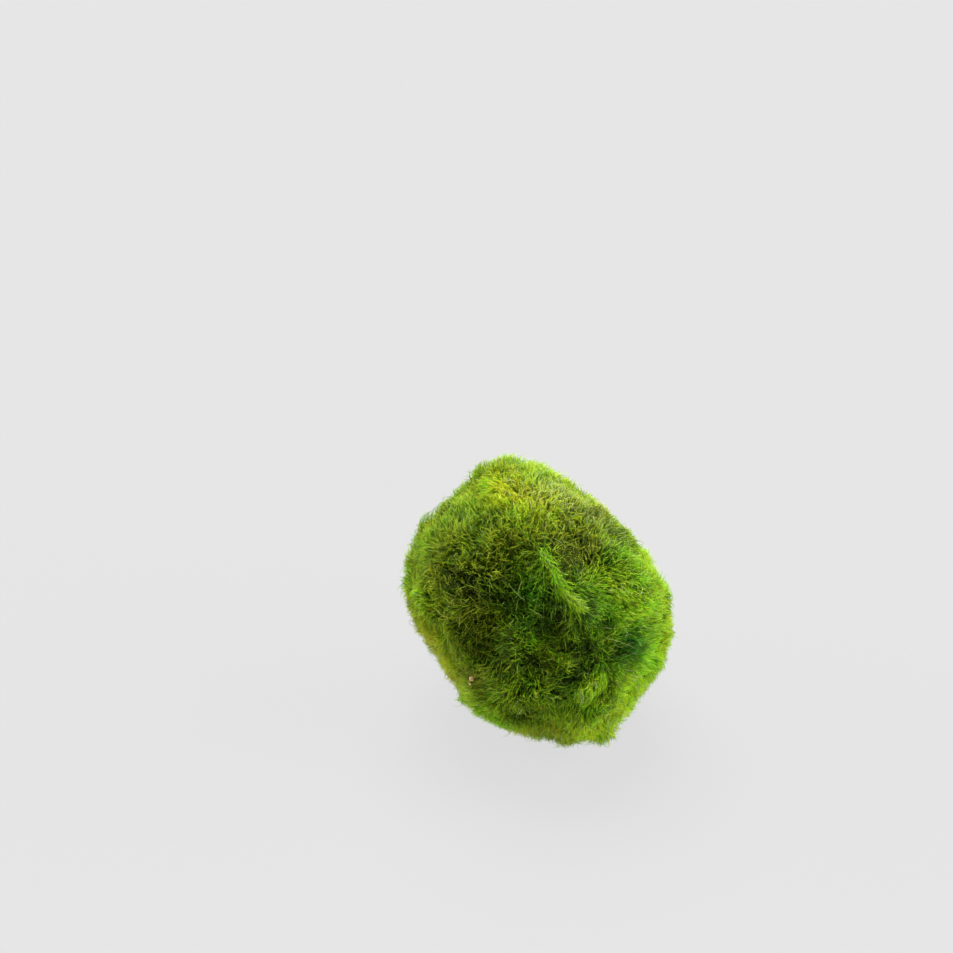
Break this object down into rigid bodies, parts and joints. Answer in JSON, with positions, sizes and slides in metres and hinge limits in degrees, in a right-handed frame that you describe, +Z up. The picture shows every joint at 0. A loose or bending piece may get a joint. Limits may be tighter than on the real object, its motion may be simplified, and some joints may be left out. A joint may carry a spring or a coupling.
{
  "type": "marimo moss ball",
  "caption": "Soft lumpy green ball of fine moss threads with folds, hollows and tufts, resting on a small flat spot.",
  "frame": {"origin": "under the middle of the ball's bounding box, on the surface that the ball rests on", "axes": "+Z up, -Y towards the viewer of the picture, +X to that viewer's right"},
  "size_m": [0.051, 0.0544, 0.0532],
  "materials": {
    "moss": "matt mat of fine damp threads, yellow-green at the tips and nearly black between the tufts"
  },
  "bodies": {
    "root": {"moss_ball": "moss"}
  },
  "joints": []
}
